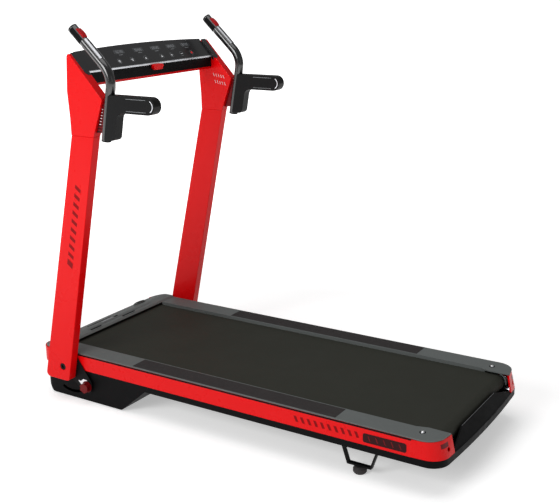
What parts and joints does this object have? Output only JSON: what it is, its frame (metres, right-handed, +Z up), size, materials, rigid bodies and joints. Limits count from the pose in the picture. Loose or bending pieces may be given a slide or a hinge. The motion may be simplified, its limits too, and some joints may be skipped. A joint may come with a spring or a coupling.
{
  "type": "folding treadmill",
  "caption": "Motorised home treadmill: flat running deck with belt, side rails and motor belly, folding uprights with a slim console, bent handles and arm pads.",
  "frame": {"origin": "on the floor under the middle of the machine", "axes": "+Z up, +Y the way the runner faces, +X to the runner's right"},
  "size_m": [0.655, 1.3865, 1.1589],
  "materials": {
    "red_metal": "satin red paint",
    "red_plastic": "glossy red moulding",
    "grey_moulding": "fine-grained grey moulding",
    "grip": "ribbed rubber",
    "belt": "fine woven-look PVC belt",
    "black_moulding": "fine-grained black moulding",
    "black_gloss": "glossy black panel",
    "black_metal": "satin black powder coat",
    "steel": "turned steel",
    "zinc": "zinc-plated steel",
    "chrome": "polished",
    "board": "dark laminate over board",
    "cushion": "soft rubber",
    "foot": "moulded rubber",
    "pulley": "turned aluminium",
    "heat_sink": "finned aluminium",
    "drive": "ribbed belt",
    "silver": "silver trim",
    "wheel": "hard black plastic"
  },
  "bodies": {
    "base": {"main_rails": "black_metal", "cross_members": "black_metal", "running_board": "board", "board_brackets": "zinc", "board_cushions": "cushion", "running_belt": "belt", "roller_shafts": "steel", "roller_bearings": "steel", "roller_brackets": "zinc", "tension_screws": "zinc", "foot_rail_left": "grey_moulding", "foot_rail_right": "grey_moulding", "grip_pads": "grip", "side_rail_left": "red_plastic", "side_rail_right": "red_plastic", "front_caps": "red_plastic", "rear_caps": "red_plastic", "skirts": "black_moulding", "rear_bumper": "black_moulding", "front_cover": "grey_moulding", "belly_pan": "black_moulding", "motor_body": "black_metal", "motor_bracket": "black_metal", "drive_belt": "drive", "controller": "heat_sink", "mains_inlet": "black_moulding", "wheel_axles": "zinc", "front_feet": "foot", "rear_legs": "black_metal", "rear_feet": "foot", "pivot_bolts": "zinc", "deck_screws": "zinc"},
    "uprights": {"post_left": "red_metal", "post_right": "red_metal", "post_head_left": "red_plastic", "post_head_right": "red_plastic", "pivot_bushes": "steel", "lock_plates": "chrome", "crossbeam": "red_metal", "console_housing": "black_moulding", "console_panel": "black_gloss", "console_trim": "silver", "handle_left": "black_moulding", "handle_right": "black_moulding", "handle_caps": "black_moulding", "handle_brackets": "black_moulding", "arm_pads": "black_moulding", "pulse_plates": "chrome"},
    "front_roller": {"front_roller": "steel", "roller_pulley": "pulley"},
    "rear_roller": {"rear_roller": "steel"},
    "motor_rotor": {"motor_rotor": "steel"},
    "transport_wheel_left": {"transport_wheel_left": "wheel"},
    "transport_wheel_right": {"transport_wheel_right": "wheel"},
    "mains_switch": {"mains_switch": "red_plastic"},
    "lock_knob_left": {"lock_knob_left": "red_plastic"},
    "lock_knob_right": {"lock_knob_right": "red_plastic"},
    "safety_key": {"safety_key": "red_plastic"},
    "quick_key_left": {"quick_key_left": "red_plastic"},
    "quick_key_right": {"quick_key_right": "red_plastic"}
  },
  "joints": [
    {"name": "upright_fold", "type": "hinge", "parent": "base", "child": "uprights", "pos_m": [0, 0.564, 0.119], "axis": [1, 0, 0], "range_deg": [0, 70]},
    {"name": "front_roller_spin", "type": "hinge", "parent": "base", "child": "front_roller", "pos_m": [0, 0.64, 0.126], "axis": [1, 0, 0], "continuous": true},
    {"name": "rear_roller_spin", "type": "hinge", "parent": "base", "child": "rear_roller", "pos_m": [0, -0.636, 0.126], "axis": [1, 0, 0], "continuous": true},
    {"name": "motor_spin", "type": "hinge", "parent": "base", "child": "motor_rotor", "pos_m": [0, 0.545, 0.053], "axis": [1, 0, 0], "continuous": true},
    {"name": "left_wheel_spin", "type": "hinge", "parent": "base", "child": "transport_wheel_left", "pos_m": [-0.211, 0.65, 0.026], "axis": [1, 0, 0], "continuous": true},
    {"name": "right_wheel_spin", "type": "hinge", "parent": "base", "child": "transport_wheel_right", "pos_m": [0.211, 0.65, 0.026], "axis": [1, 0, 0], "continuous": true},
    {"name": "mains_switch_rock", "type": "hinge", "parent": "base", "child": "mains_switch", "pos_m": [-0.128, 0.68, 0.069], "axis": [1, 0, 0], "range_deg": [0, 16]},
    {"name": "left_lock_turn", "type": "hinge", "parent": "uprights", "child": "lock_knob_left", "pos_m": [-0.305, 0.494, 0.056], "axis": [1, 0, 0], "range_deg": [0, 270]},
    {"name": "right_lock_turn", "type": "hinge", "parent": "uprights", "child": "lock_knob_right", "pos_m": [0.305, 0.494, 0.056], "axis": [1, 0, 0], "range_deg": [-270, 0]},
    {"name": "safety_key_pull", "type": "slide", "parent": "uprights", "child": "safety_key", "axis": [0, -1, 0], "range_m": [0, 0.02]},
    {"name": "left_quick_key_rock", "type": "hinge", "parent": "uprights", "child": "quick_key_left", "pos_m": [-0.3125, 0.40696, 1.13203], "axis": [1, 0, 0], "range_deg": [-4, 4], "stiffness_Nm_per_rad": 0.4},
    {"name": "right_quick_key_rock", "type": "hinge", "parent": "uprights", "child": "quick_key_right", "pos_m": [0.3125, 0.40696, 1.13203], "axis": [1, 0, 0], "range_deg": [-4, 4], "stiffness_Nm_per_rad": 0.4}
  ],
  "couplings": [
    {"joint": "rear_roller_spin", "follows": "front_roller_spin", "ratio": 1},
    {"joint": "motor_spin", "follows": "front_roller_spin", "ratio": 2.3636}
  ]
}
